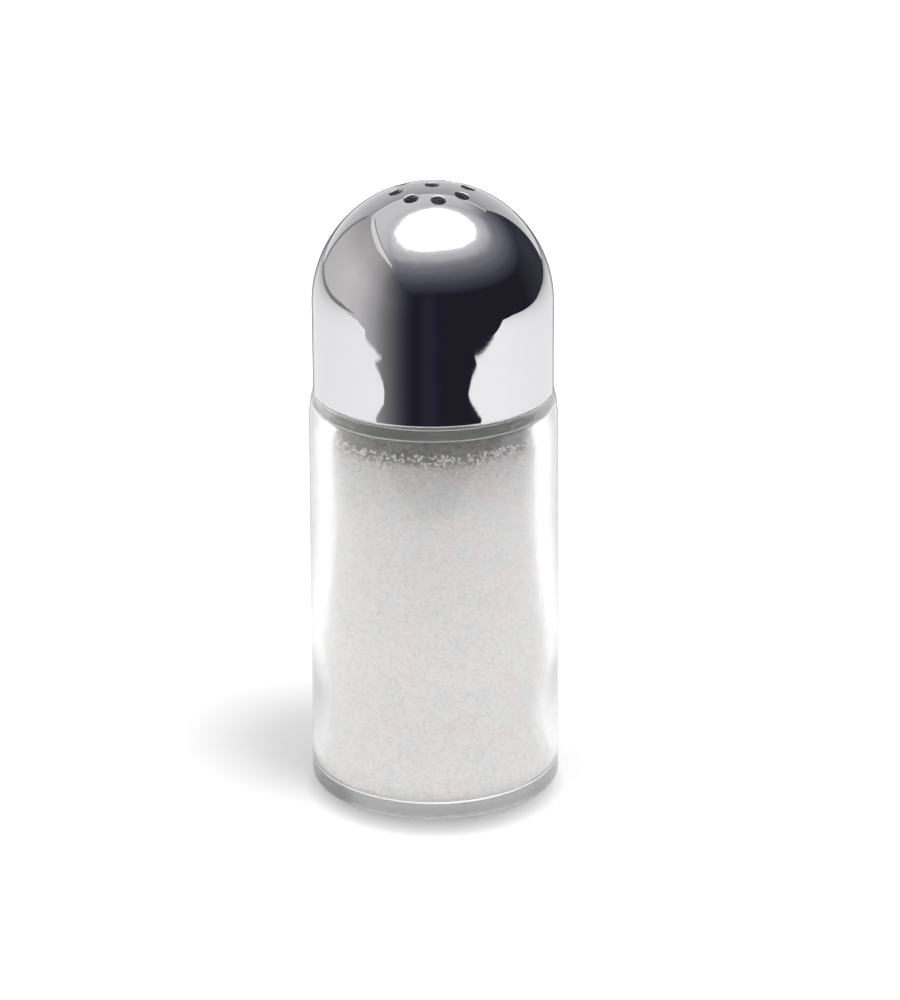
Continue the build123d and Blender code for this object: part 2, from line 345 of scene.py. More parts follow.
def paperSheet():  # matt white paper; its glow keeps the background white and leaves the shadow
    material, tree = newMaterial("white paper sheet")
    at = measure(tree)
    path = addNode(tree, "ShaderNodeLightPath").outputs
    covered = addNode(tree, "ShaderNodeMath", {0: at["far"], 1: studio["footEdge"]}, operation="LESS_THAN")

    (near, low), (beyond, high) = studio["sheetGlow"]
    level = addNode(
        tree, "ShaderNodeMapRange",
        {"Value": at["far"], "From Min": near, "From Max": beyond, "To Min": low, "To Max": high},
        interpolation_type="SMOOTHSTEP",
    )
    # painted light under the foot, added to the glow that keeps the sheet white
    lifted = addNode(
        tree, "ShaderNodeMath", {0: covered, 1: studio["paintedFootLight"], 2: level}, operation="MULTIPLY_ADD",
    )
    direct = addNode(
        tree, "ShaderNodeMath", {0: path["Is Camera Ray"], 1: path["Is Transmission Ray"]},
        operation="MAXIMUM",
    )
    seen = addNode(tree, "ShaderNodeMath", {0: direct, 1: lifted}, operation="MULTIPLY")

    start, full = studio["farWhite"]
    toFront = addNode(tree, "ShaderNodeMath", {0: at["y"], 1: -1.0}, operation="MULTIPLY")
    toSide = addNode(tree, "ShaderNodeMath", {0: at["far"], 1: studio["sideShare"]}, operation="DIVIDE")
    outward = addNode(tree, "ShaderNodeMath", {0: toFront, 1: toSide}, operation="MAXIMUM")
    distant = addNode(tree, "ShaderNodeMapRange", {"Value": outward, "From Min": start, "From Max": full})
    strength = addNode(
        tree, "ShaderNodeMath", {0: path["Is Camera Ray"], 1: distant, 2: seen}, operation="MULTIPLY_ADD",
    )

    # painted dark reflection: behind the shaker, and only for reflected rays, the sheet turns grey
    start, full = studio["behind"]
    backward = addNode(tree, "ShaderNodeMath", {0: at["y"], 1: at["far"]}, operation="DIVIDE")
    behind = addNode(
        tree, "ShaderNodeMapRange", {"Value": backward, "From Min": start, "From Max": full},
        interpolation_type="SMOOTHSTEP",
    )
    shadeInReflection = addNode(tree, "ShaderNodeMath", {0: behind, 1: path["Is Glossy Ray"]}, operation="MULTIPLY")
    paper = addNode(
        tree, "ShaderNodeMix",
        {0: shadeInReflection, 6: linear(studio["sheet"]), 7: linear(studio["reflectedShadeBehind"])}, data_type="RGBA",
    )

    # painted contact shadow of the jar on the paper, outside the foot
    centre = (0, -studio["contactFront"], -studio["sheetDrop"])
    away = addNode(tree, "ShaderNodeVectorMath", {0: at["place"], 1: centre}, operation="DISTANCE")
    bare = addNode(tree, "ShaderNodeMath", {0: 1.0, 1: covered}, operation="SUBTRACT")
    shaded = addNode(
        tree, "ShaderNodeMix", {0: bare, 6: paper, 7: colourBy(tree, away, studio["contactShadow"])},
        data_type="RGBA", blend_type="MULTIPLY",
    )
    skin = addNode(tree, "ShaderNodeBsdfDiffuse", {"Color": shaded})
    glow = addNode(tree, "ShaderNodeEmission", {"Strength": strength})
    both = addNode(tree, "ShaderNodeAddShader", {0: skin, 1: glow})
    addNode(tree, "ShaderNodeOutputMaterial", {"Surface": both})
    return material


def buildStudio():
    left, right = -studio["left"], studio["right"]
    back, front, ceiling = studio["back"], -studio["front"], studio["ceiling"]
    reach = studio["sheetReach"]
    square = ((-reach, -reach), (reach, -reach), (reach, reach), (-reach, reach))
    cardMesh("floor", [(x, y, -studio["sheetDrop"]) for x, y in square], paperSheet())

    room = roomMaterial("room round the table", wallColour)
    corners = [(x, y, studio["tableRise"]) for x, y in sheetEdge + tableFront]
    unseen(cardMesh("darkTable", corners, room, [tuple(range(len(corners)))]))
    upright("leftWall", (left, front), (left, back), room, ceiling, throughGlass=True)
    upright("rightWall", (right, back), (right, front), room, ceiling, throughGlass=True)
    upright("frontWall", (right, front), (left, front), room, ceiling)
    near = left + studio["cardGap"]
    corners = [(near, y, z) for y, z in skirtingEdge]
    unseen(cardMesh("skirting", corners, plainGlow("skirting", studio["skirting"])))
    width, height = studio["cornerSize"]
    shade = plainGlow("room corner", studio["cornerShade"])
    upright("cornerLine", (left, back - 3), (left + width, back - 3), shade, height)
    wall = upright("backWall", (left, back), (right, back), backWallMaterial(), ceiling)
    wall.visible_diffuse = False  # it is reflected, but the lamps do the lighting

    plan = ((left, front), (left, back), (right, back), (right, front))
    corners = [(x, y, ceiling) for x, y in plan]
    unseen(cardMesh("diffuser", corners, roomMaterial("lit diffuser", ceilingColour)))
    lit = plainGlow("lit edge", studio["litEdge"])
    seam = plainGlow("seam of the diffuser", studio["skirting"])
    for name, places in diffuserEdges.items():
        corners = [(left + inward, y, ceiling - drop) for inward, y, drop in places]
        fan = [(0, k, k + 1, k + 2) for k in range(1, len(corners) - 1, 2)]
        unseen(cardMesh(name, corners, seam if name == "leftSeam" else lit, fan))


def buildWorld():  # white wherever it is seen, and it lights nothing
    world = bpy.data.worlds.new("studioWorld")
    scene.world = world
    world.use_nodes = True
    tree = world.node_tree
    tree.nodes.clear()
    path = addNode(tree, "ShaderNodeLightPath").outputs
    direct = addNode(
        tree, "ShaderNodeMath", {0: path["Is Camera Ray"], 1: path["Is Transmission Ray"]},
        operation="MAXIMUM",
    )
    seen = addNode(tree, "ShaderNodeMath", {0: direct, 1: path["Is Glossy Ray"]}, operation="MAXIMUM")
    sky = addNode(tree, "ShaderNodeBackground", {"Color": linear("FFFFFF"), "Strength": seen})
    addNode(tree, "ShaderNodeOutputWorld", {"Surface": sky})


def addLamp(name, place, size, power):
    data = bpy.data.lights.new(name, "AREA")
    data.shape = "DISK"
    data.size = size * mm
    data.energy = power
    lamp = bpy.data.objects.new(name, data)
    lamp.location = Vector(place) * mm
    lamp.rotation_euler = (Vector(place) - Vector(studio["lampAim"])).to_track_quat("Z", "Y").to_euler()
    lamp.visible_glossy = False  # the steel reflects the diffuser's own glow instead
    lamp.visible_camera = False
    scene.collection.objects.link(lamp)


buildStudio()
buildWorld()
addLamp("keyLamp", studio["keyPlace"], studio["keySize"], studio["keyPower"])
addLamp("sideLamp", studio["sidePlace"], studio["sideSize"], studio["sidePower"])
for name, place, power in zip(("leftFill", "rightFill"), studio["fillPlaces"], studio["fillPowers"]):
    addLamp(name, place, studio["fillSize"], power)
print("studio built")


# Profiles of turned pieces are lists of (radius, height) in millimetres

def tangentArc(start, end, tangent, steps):  # arc that leaves start along a tangent and ends at end
    start, end = Vector(start), Vector(end)
    tangent = Vector(tangent).normalized()
    across = Vector((-tangent.y, tangent.x))
    chord = end - start
    radius = chord.length_squared / (2 * chord.dot(across))
    centre = start + across * radius
    first = start - centre
    sweep = 2 * math.atan2(chord.dot(across), chord.dot(tangent))
    points = []
    for i in range(steps + 1):
        turn = sweep * i / steps
        c, s = math.cos(turn), math.sin(turn)
        points.append(centre + Vector((first.x * c - first.y * s, first.x * s + first.y * c)))
    return points


def corner(before, place, after, radius, steps=8):  # points of a fillet
    place = Vector(place)
    back = (Vector(before) - place).normalized()
    on = (Vector(after) - place).normalized()
    half = back.angle(on) / 2
    centre = place + (back + on).normalized() * radius / math.sin(half)
    first = place + back * radius / math.tan(half) - centre
    last = place + on * radius / math.tan(half) - centre
    sweep = math.atan2(first.x * last.y - first.y * last.x, first.dot(last))
    points = []
    for i in range(steps + 1):
        turn = sweep * i / steps
        c, s = math.cos(turn), math.sin(turn)
        points.append(centre + Vector((first.x * c - first.y * s, first.x * s + first.y * c)))
    return points


def filledIn(points, step):  # straight runs get points at every step
    full = [points[0]]
    for point in points[1:]:
        run = point - full[-1]
        count = max(1, math.ceil(run.length / step))
        start = full[-1]
        full += [start + run * (i + 1) / count for i in range(count)]
    return full


def smoothWall(stations, step):  # radius as a clamped cubic spline over height
    heights = np.array([h for r, h in stations])
    radii = np.array([r for r, h in stations])
    n = len(heights)
    gap = np.diff(heights)
    system, right = np.eye(n), np.zeros(n)
    for i in range(1, n - 1):
        system[i, i - 1] = 1 / gap[i - 1]
        system[i, i] = 2 / gap[i - 1] + 2 / gap[i]
        system[i, i + 1] = 1 / gap[i]
        below = (radii[i] - radii[i - 1]) / gap[i - 1] ** 2
        above = (radii[i + 1] - radii[i]) / gap[i] ** 2
        right[i] = 3 * (below + above)
    slopes = np.linalg.solve(system, right)
    points = []
    for i in range(n - 1):
        count = math.ceil(gap[i] / step)
        for k in range(count + (i == n - 2)):
            t = k / count
            r = (
                radii[i] * (1 + 2 * t) * (1 - t) ** 2 + radii[i + 1] * t * t * (3 - 2 * t)
                + gap[i] * (slopes[i] * t * (1 - t) ** 2 - slopes[i + 1] * t * t * (1 - t))
            )
            points.append(Vector((r, heights[i] + t * gap[i])))
    return points


# Glass jar
jar = {
    "height": 67.0, "radius": 20.0, "footRadius": 20.4, "heel": 0.9, "footRing": 3.0, "pushUp": 0.8,
    "shoulderDrop": 5.0, "ledgeRadius": 19.35, "ledgeEdge": 0.4,
    "wall": [(2.15, 3.4), (2.45, 6.4), (2.25, 23.4), (2.65, 28.0), (3.6, 48.0)],  # (thickness, height)
    "floor": 1.7, "crown": 0.9, "floorCorner": 1.3,
    "innerShoulder": 3.1, "innerFoot": 0.6, "innerNeck": 1.0,
    "neckRadius": 15.1, "bore": 12.7, "neckHeight": 10.2, "lip": 0.7, "neckRoot": 0.5,
    "pitch": 4.23, "turns": 1.25, "threadDepth": 1.15, "threadLap": 0.4,
    "ridgeRoot": 2.2, "ridgeCrest": 0.9, "threadRise": 1.9, "threadStart": 40.0,
    "segments": 288, "step": 0.6,
    "ior": 1.52,
    "ream": 14.0,           # length of the slow waves that blowing leaves
    # Colours of the wall and of the thick heel, and painted shade on the inside of the pressed neck, which
    # greys the view up into the cap
    "glass": "FDFEFD", "heelGlass": "FCFEFD", "neckShadeTint": "F0F3F1",
    "heelTop": (2.6, 1.6),  # heights over which the heel's colour sets in
    # heights over which the neck's painted shade sets in, and the radius inside which it lies
    "neckFoot": (63.2, 64.2), "neckShadeReach": 17.0,
    # Roughness of the inside where grains rub it, above them, and of the moulded foot
    "rubbed": 0.18, "clean": 0.16, "stipple": 0.3,
    "saltTop": (60.0, 62.0), "innerReach": 18.5, "floorTop": 3.0, "footTop": 0.85,
    "through": "FDFDFD",    # what a wall lets through of light that is scattered
    "shadow": "F0F0F0",     # and of a lamp's own light
    "outer": "E8E8E8",      # and of all light that comes from outside, as a curved wall turns it aside
    "outerReach": 18.8,     # the outside of the jar is further than this from the axis
    "thick": [(50, "FFFFFF"), (58, "F0F0F0"), (61, "FAFAFA")],  # and the shoulder, by height
}


def flankRadius(height):
    lean = (jar["footRadius"] - jar["radius"]) / (jar["height"] - jar["shoulderDrop"])
    return jar["footRadius"] - lean * height


def cavityProfile(inset=0.0):  # from the middle of the floor up to the neck
    wall = [(flankRadius(h) - t - inset, h) for t, h in jar["wall"]]
    middle = (0, jar["floor"] + jar["crown"] + inset)
    edge = (wall[0][0], jar["floor"] + inset)
    floor = tangentArc(middle, edge, (1, 0), 40)
    turned = corner(floor[-2], edge, wall[0], jar["floorCorner"])
    keep = [p for p in floor if p.x < turned[0].x]
    side = smoothWall(wall, jar["step"])
    shoulderFoot = Vector((wall[-1][0], jar["height"] - jar["innerShoulder"] - inset))
    neckFoot = Vector((jar["bore"] - inset, jar["height"] - inset))
    shoulder = corner(side[-1], shoulderFoot, neckFoot, jar["innerFoot"])
    shoulder += corner(shoulderFoot, neckFoot, (neckFoot.x, jar["height"] + 5), jar["innerNeck"])
    return filledIn(keep + turned + side, jar["step"]) + filledIn([side[-1]] + shoulder, jar["step"])[1:]


def threadSwell(height, angle):  # how far the neck's ridge stands out at a height and an angle
    half = jar["ridgeRoot"] / 2
    crest = jar["ridgeCrest"] / 2
    around = (np.degrees(angle) - jar["threadStart"]) % 360 / 360
    swell = np.zeros(np.broadcast(height, angle).shape)
    full = jar["threadDepth"] + jar["threadLap"]
    perTurn = 2 * math.pi * jar["neckRadius"]
    for turn in (-1, 0, 1):
        along = around + turn
        middle = jar["height"] + jar["threadRise"] + jar["pitch"] * np.clip(along, 0, jar["turns"])
        off = np.abs(height - middle)
        out = full - np.clip((off - crest) / (half - crest), 0, 2) * jar["threadDepth"]
        past = np.maximum(np.maximum(-along, along - jar["turns"]), 0) * perTurn
        reach = np.sqrt(np.maximum(out ** 2 - past ** 2, 0)) - jar["threadLap"]
        swell = np.maximum(swell, np.where((out > 0) & (past < full), reach, 0))
    return np.maximum(swell, 0)


def spin(name, profile, segments, material, swell=None, ends=(True, True)):
    radii = np.array([p[0] for p in profile])
    heights = np.array([p[1] for p in profile])
    angles = np.linspace(0, 2 * math.pi, segments, endpoint=False)
    wide = radii[:, None] + np.zeros(segments)
    if swell is not None:
        wide = wide + swell(np.arange(len(profile))[:, None], heights[:, None], angles[None, :])
    tall = heights[:, None] + np.zeros(segments)
    grid = np.stack([wide * np.cos(angles), wide * np.sin(angles), tall], axis=2) * mm
    rows = len(profile)
    first = 1 if ends[0] else 0
    last = rows - 1 if ends[1] else rows
    points = grid[first:last].reshape(-1, 3).tolist()
    faces = []
    for i in range(last - first - 1):
        for k in range(segments):
            beside = (k + 1) % segments
            low, high = i * segments, (i + 1) * segments
            faces.append((low + k, low + beside, high + beside, high + k))
    if ends[0]:
        points.append((0, 0, float(heights[0]) * mm))
        faces += [(len(points) - 1, (k + 1) % segments, k) for k in range(segments)]
    if ends[1]:
        points.append((0, 0, float(heights[-1]) * mm))
        top = (last - first - 1) * segments
        faces += [(len(points) - 1, top + k, top + (k + 1) % segments) for k in range(segments)]
    mesh = bpy.data.meshes.new(name)
    mesh.from_pydata(points, [], faces)
    mesh.materials.append(material)
    mesh.shade_smooth()
    piece = bpy.data.objects.new(name, mesh)
    scene.collection.objects.link(piece)
    return piece


def glassTint(tree, at):  # nearly none: the heel is a touch greener, and the inside of the pressed neck carries painted shade
    start, full = jar["heelTop"]
    low = addNode(tree, "ShaderNodeMapRange", {"Value": at["z"], "From Min": start, "From Max": full})
    heel = addNode(
        tree, "ShaderNodeMix", {0: low, 6: linear(jar["glass"]), 7: linear(jar["heelGlass"])},
        data_type="RGBA",
    )
    # painted shade inside the neck, where the view goes up into the cap
    start, full = jar["neckFoot"]
    high = addNode(tree, "ShaderNodeMapRange", {"Value": at["z"], "From Min": start, "From Max": full})
    within = addNode(tree, "ShaderNodeMath", {0: at["far"], 1: jar["neckShadeReach"]}, operation="LESS_THAN")
    neck = addNode(tree, "ShaderNodeMath", {0: high, 1: within}, operation="MULTIPLY")
    return addNode(tree, "ShaderNodeMix", {0: neck, 6: heel, 7: linear(jar["neckShadeTint"])}, data_type="RGBA")


def glassRoughness(tree, at):  # clear outside, faintly rubbed inside, stippled under the foot
    start, full = jar["saltTop"]
    upward = addNode(
        tree, "ShaderNodeMapRange",
        {
            "Value": at["z"], "From Min": start, "From Max": full, "To Min": jar["rubbed"],
            "To Max": jar["clean"],
        },
    )
    within = addNode(tree, "ShaderNodeMath", {0: at["far"], 1: jar["innerReach"]}, operation="LESS_THAN")
    above = addNode(tree, "ShaderNodeMath", {0: at["z"], 1: jar["floorTop"]}, operation="GREATER_THAN")
    inside = addNode(tree, "ShaderNodeMath", {0: within, 1: above}, operation="MULTIPLY")
    rubbed = addNode(tree, "ShaderNodeMath", {0: inside, 1: upward}, operation="MULTIPLY")
    foot = addNode(tree, "ShaderNodeMath", {0: at["z"], 1: jar["footTop"]}, operation="LESS_THAN")
    stippled = addNode(tree, "ShaderNodeMath", {0: foot, 1: jar["stipple"]}, operation="MULTIPLY")
    return addNode(tree, "ShaderNodeMath", {0: rubbed, 1: stippled}, operation="MAXIMUM")


def letThrough(tree, at, path):  # the share of a lamp's light that a wall passes on to what is inside
    facing = addNode(tree, "ShaderNodeNewGeometry").outputs
    shade = addNode(
        tree, "ShaderNodeMix",
        {0: path["Is Shadow Ray"], 6: linear(jar["through"]), 7: linear(jar["shadow"])}, data_type="RGBA",
    )
    outside = addNode(
        tree, "ShaderNodeMath", {0: at["far"], 1: jar["outerReach"]}, operation="GREATER_THAN",
    )
    inward = addNode(tree, "ShaderNodeMath", {0: outside, 1: facing["Backfacing"]}, operation="SUBTRACT")
    entering = addNode(tree, "ShaderNodeMath", {0: inward, 1: 0.0}, operation="MAXIMUM")
    entered = addNode(
        tree, "ShaderNodeMix", {0: entering, 6: shade, 7: linear(jar["outer"])}, data_type="RGBA",
    )
    return addNode(
        tree, "ShaderNodeMix", {0: 1.0, 6: entered, 7: colourBy(tree, at["z"], jar["thick"])},
        data_type="RGBA", blend_type="MULTIPLY",
    )


def sodaGlass():  # soda-lime glass, blown and fire-finished: clear, and slightly wavy to look through
    material, tree = newMaterial("soda-lime glass, blown and fire-finished")
    at = measure(tree)
    ream = addNode(
        tree, "ShaderNodeTexNoise",
        {"Vector": at["place"], "Scale": 1 / jar["ream"], "Detail": 1.0, "Roughness": 0.4},
    )
    waves = addNode(tree, "ShaderNodeBump", {"Height": ream, "Strength": 0.25, "Distance": 0.12 * mm})
    glass = addNode(
        tree, "ShaderNodeBsdfPrincipled",
        {
            "Base Color": glassTint(tree, at), "Roughness": glassRoughness(tree, at), "Normal": waves,
            "IOR": jar["ior"], "Transmission Weight": 1.0,
        },
    )
    path = addNode(tree, "ShaderNodeLightPath").outputs
    clear = addNode(tree, "ShaderNodeBsdfTransparent", {"Color": letThrough(tree, at, path)})
    straight = addNode(
        tree, "ShaderNodeMath", {0: path["Is Shadow Ray"], 1: path["Is Diffuse Ray"]}, operation="MAXIMUM",
    )
    both = addNode(tree, "ShaderNodeMixShader", {"Fac": straight, 1: glass, 2: clear})
    addNode(tree, "ShaderNodeOutputMaterial", {"Surface": both})
    return material


def buildJar():
    foot = jar["footRadius"] - jar["footRing"]
    shoulder = jar["height"] - jar["shoulderDrop"]
    neckTop = jar["height"] + jar["neckHeight"]
    heelAt, flankTop = (jar["footRadius"], 0), (jar["radius"], shoulder)
    under = tangentArc((0, jar["pushUp"]), (foot, 0), (1, 0), 30)
    heel = corner((foot, 0), heelAt, flankTop, jar["heel"])
    leaning = (jar["radius"] - jar["footRadius"], shoulder)
    bend = tangentArc(flankTop, (jar["ledgeRadius"], jar["height"]), leaning, 16)
    ledge = corner(bend[-2], bend[-1], (jar["neckRadius"], jar["height"]), jar["ledgeEdge"])
    neckRoot, neckEdge = (jar["neckRadius"], jar["height"]), (jar["neckRadius"], neckTop)
    root = corner((jar["ledgeRadius"], jar["height"]), neckRoot, neckEdge, jar["neckRoot"])
    lipOut = corner(neckRoot, neckEdge, (0, neckTop), jar["lip"])
    lipIn = corner(neckEdge, (jar["bore"], neckTop), (jar["bore"], jar["height"]), jar["lip"])
    outside = filledIn(under + heel + [p for p in bend if p.y < ledge[0].y] + ledge + root, jar["step"])
    neck = filledIn([root[-1], lipOut[0]], 0.1)[1:]
    top = filledIn([lipOut[0]] + lipOut[1:] + lipIn, jar["step"])[1:]
    inside = cavityProfile()[::-1]
    bore = filledIn([top[-1], inside[0]], jar["step"])[1:-1]
    profile = outside + neck + top + bore + inside
    neckRows = (len(outside), len(outside) + len(neck))

    def ridge(row, height, angle):
        onNeck = (row >= neckRows[0]) & (row < neckRows[1])
        return np.where(onNeck, threadSwell(height, angle), 0)

    piece = spin("glassJar", profile, jar["segments"], sodaGlass(), ridge)
    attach(piece, "jar")
    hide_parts("glass_jar")


buildJar()
print("jar built")

# Salt
salt = {
    "inset": 0.1, "level": 60.6, "edge": 1.4, "dent": 0.12, "segments": 400, "step": 0.3,
    "dentDepth": 4.0,       # the top layer, in which the dents get deeper
    "grain": 0.35,          # width of a crystal
    "patch": 5.0,           # width of the patches that are packed more or less tightly
    # Colours of the grains, by chance, and of the patches, from cool to warm
    "grains": [(0, "EEEBEA"), (0.3, "F8F5F4"), (1, "FDFCFC")],
    "patches": [(0.3, "F3F6F5"), (0.5, "FBF9F8"), (0.7, "FCF4F1")],
    "looseGrains": 1000, "wallGrains": 1400,
    "looseSizes": (0.6, 1.15), "wallSizes": (0.6, 1.1),  # shares of the width of a crystal
    "looseInset": 0.45, "looseSink": 0.02,  # of the loose grains from the glass, and into the top
    "glassGap": 0.04,       # between a grain's corner and the glass
    "wallTop": 1.2, "wallSpread": 3.2,  # the grains on the glass reach this high, and thin out downward
}


def tableSalt(name, rough, clear=0.0):  # evaporated table salt: white grains, each a small clear cube
    material, tree = newMaterial(name)
    place = measure(tree)["place"]
    cells = addNode(tree, "ShaderNodeTexVoronoi", {"Vector": place, "Scale": 1 / salt["grain"]}).outputs
    tone = addNode(tree, "ShaderNodeSeparateColor", {"Color": cells["Color"]}).outputs
    drift = addNode(
        tree, "ShaderNodeTexNoise",
        {"Vector": place, "Scale": 1 / salt["patch"], "Detail": 3.0, "Roughness": 0.6},
    )
    grains = colourBy(tree, tone["Red"], salt["grains"])
    patches = colourBy(tree, drift, salt["patches"])
    colour = addNode(
        tree, "ShaderNodeMix", {0: 1.0, 6: grains, 7: patches}, data_type="RGBA", blend_type="MULTIPLY",
    )
    bumps = addNode(
        tree, "ShaderNodeBump", {"Height": cells["Distance"], "Strength": 0.5, "Distance": 0.1 * mm},
    )
    skin = addNode(
        tree, "ShaderNodeBsdfPrincipled",
        {
            "Base Color": colour, "Normal": bumps, "Roughness": rough, "IOR": 1.54,
            "Transmission Weight": clear,
        },
    )
    addNode(tree, "ShaderNodeOutputMaterial", {"Surface": skin})
    return material


def saltHeight(x, y):  # the top lies as it was shaken, a little uneven
    swell = 0.3 * math.sin(0.31 * x + 0.7) * math.cos(0.27 * y)
    ripple = 0.12 * math.sin(0.9 * y + x)
    return salt["level"] - 0.35 + swell + ripple


def buildSalt():
    chance = np.random.default_rng(7)
    wall = [p for p in cavityProfile(salt["inset"]) if p.y < salt["level"]]
    middle = Vector((0, salt["level"]))
    slump = corner(wall[-8], (wall[-1].x, salt["level"]), middle, salt["edge"])
    profile = filledIn([p for p in wall if p.y < slump[0].y] + slump + [middle], salt["step"])

    def dents(row, height, angle):  # deeper near the top, where the grains lie loose
        near = np.clip((height - salt["level"] + salt["dentDepth"]) / salt["dentDepth"], 0, 1)
        return -chance.random((len(profile), salt["segments"])) * salt["dent"] * (1 + 4 * near ** 2)

    piece = spin("saltFill", profile, salt["segments"], tableSalt("table salt, evaporated", 0.5), dents)
    for vertex in piece.data.vertices:
        x, y, z = vertex.co / mm
        if z > salt["level"] - 0.01:
            vertex.co.z = (saltHeight(x, y) - 0.15 * chance.random()) * mm
    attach(piece, "jar")
    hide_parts("salt_fill")


def wallRadius(height):  # radius of the space inside the jar at a height on its straight upper part
    side = smoothWall([(flankRadius(h) - t, h) for t, h in jar["wall"]], jar["step"])
    if height >= side[-1].y:
        return side[-1].x
    return min(side, key=lambda p: abs(p.y - height)).x


def buildGrains():  # single crystals on the top and against the glass near it
    chance = random.Random(11)
    points, faces = [], []
    bore = wallRadius(salt["level"])
    halfDiagonal = 0.87  # of a cube, as a share of its side

    def cube(place, size):
        angle = chance.uniform(0, 6.28)
        axis = Vector([chance.gauss(0, 1) for _ in range(3)]).normalized()
        turn = Matrix.Rotation(angle, 3, axis)
        start = len(points)
        for number in range(8):
            offset = Vector([(number >> k & 1) - 0.5 for k in range(3)]) * size
            points.append((place + turn @ offset) * mm)
        for face in ((0, 2, 3, 1), (4, 5, 7, 6), (0, 1, 5, 4), (2, 6, 7, 3), (0, 4, 6, 2), (1, 3, 7, 5)):
            faces.append([start + k for k in face])

    for _ in range(salt["looseGrains"]):
        angle, far = chance.uniform(0, 2 * math.pi), math.sqrt(chance.random()) * (bore - salt["looseInset"])
        x, y = far * math.cos(angle), far * math.sin(angle)
        size = salt["grain"] * chance.uniform(*salt["looseSizes"])
        cube(Vector((x, y, saltHeight(x, y) - salt["looseSink"])), size)
    onTop = len(faces)
    for _ in range(salt["wallGrains"]):
        angle = chance.uniform(0, 2 * math.pi)
        size = salt["grain"] * chance.uniform(*salt["wallSizes"])
        rise = salt["wallTop"] - chance.expovariate(1 / salt["wallSpread"])
        far = bore - salt["glassGap"] - size * halfDiagonal
        cube(Vector((far * math.cos(angle), far * math.sin(angle), salt["level"] + rise)), size)
    mesh = bpy.data.meshes.new("saltGrains")
    mesh.from_pydata(points, [], faces)
    mesh.materials.append(tableSalt("table salt, single crystals", 0.1, 0.5))
    mesh.materials.append(tableSalt("table salt, crystals in the light", 0.1))
    mesh.polygons.foreach_set("material_index", [int(i >= onTop) for i in range(len(faces))])
    piece = bpy.data.objects.new("saltGrains", mesh)
    scene.collection.objects.link(piece)
    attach(piece, "jar")
    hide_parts("salt_fill")


buildSalt()
buildGrains()
print("salt poured")

# Cap
cap = {
    "radius": 19.25, "steel": 0.6, "rim": 67.15, "skirt": 14.4, "rimRadius": 0.2,
    "hole": 1.1, "holes": 8, "ring": 5.7, "firstHole": -80.0, "holeEdge": 0.22,
    "crown": 9.5,           # the holed part of the dome that is drawn in plan
    "segments": 240, "holeSegments": 48,
    "steelColour": "E2E1E3", "insideColour": "D8D8D9",
    "lineLength": 3.0, "linePitch": 3 / 14,  # polishing lines
    "sheetGrain": 0.5,      # of the unpolished inside
}


def capDome(radius, place):  # height of a sphere round the dome's centre above a place in plan
    return cap["rim"] + cap["skirt"] + math.sqrt(max(radius ** 2 - place[0] ** 2 - place[1] ** 2, 0))


def holeCentres():
    centres = [Vector((0, 0))]
    for i in range(cap["holes"]):
        angle = math.radians(cap["firstHole"] + 360 * i / cap["holes"])
        centres.append(Vector((math.cos(angle), math.sin(angle))) * cap["ring"])
    return centres


def crownPlan(easing, spacing):  # plan points and triangles of the holed part, denser round the holes
    rings = [cap["hole"] + cap["holeEdge"] * (1 - math.cos(math.radians(a))) for a in easing]
    rings += [rings[-1] + gap for gap in (0.08, 0.2, 0.4)]
    places, edges = [], []
    for centre in holeCentres():
        for number, ring in enumerate(rings):
            start = len(places)
            for k in range(cap["holeSegments"]):
                angle = 2 * math.pi * (k + 0.5 * (number % 2)) / cap["holeSegments"]
                places.append(centre + Vector((math.cos(angle), math.sin(angle))) * ring)
            if number == 0:
                edges += [
                    (start + k, start + (k + 1) % cap["holeSegments"]) for k in range(cap["holeSegments"])
                ]
    rim = len(places)
    for k in range(cap["segments"]):
        angle = 2 * math.pi * k / cap["segments"]
        places.append(Vector((math.cos(angle), math.sin(angle))) * cap["crown"])
    edges += [(rim + k, rim + (k + 1) % cap["segments"]) for k in range(cap["segments"])]
    radius = cap["crown"] - spacing
    while radius > 0:
        count = max(6, round(2 * math.pi * radius / spacing))
        for k in range(count):
            angle = 2 * math.pi * (k + 0.37) / count
            place = Vector((math.cos(angle), math.sin(angle))) * radius
            if all((place - c).length > rings[-1] + spacing * 0.6 for c in holeCentres()):
                places.append(place)
        radius -= spacing
    places, _, triangles, *_ = delaunay_2d_cdt(places, edges, [], 0, 1e-6)
    kept = []
    for triangle in triangles:
        middle = sum((places[i] for i in triangle), Vector((0, 0))) / 3
        if all((middle - c).length > cap["hole"] * 0.999 for c in holeCentres()):
            kept.append(triangle)
    return places, kept


class Skin:  # faces gathered corner by corner, each corner with the true normal of its surface
    def __init__(self):
        self.points, self.index, self.faces, self.normals, self.finish = [], {}, [], [], []

    def add(self, corners, finish=0):  # corners are (point, normal)
        face = []
        for point, normal in corners:
            key = tuple(round(c, 5) for c in point)
            if key not in self.index:
                self.index[key] = len(self.points)
                self.points.append(point)
            face.append(self.index[key])
        if len(set(face)) > 2:
            self.faces.append(face)
            self.normals.append([normal for point, normal in corners])
            self.finish.append(finish)

    def build(self, name, materials):
        mesh = bpy.data.meshes.new(name)
        mesh.from_pydata([Vector(p) * mm for p in self.points], [], self.faces)
        for material in materials:
            mesh.materials.append(material)
        mesh.polygons.foreach_set("material_index", self.finish)
        mesh.shade_smooth()
        mesh.normals_split_custom_set([n for face in self.normals for n in face])
        piece = bpy.data.objects.new(name, mesh)
        scene.collection.objects.link(piece)
        return piece


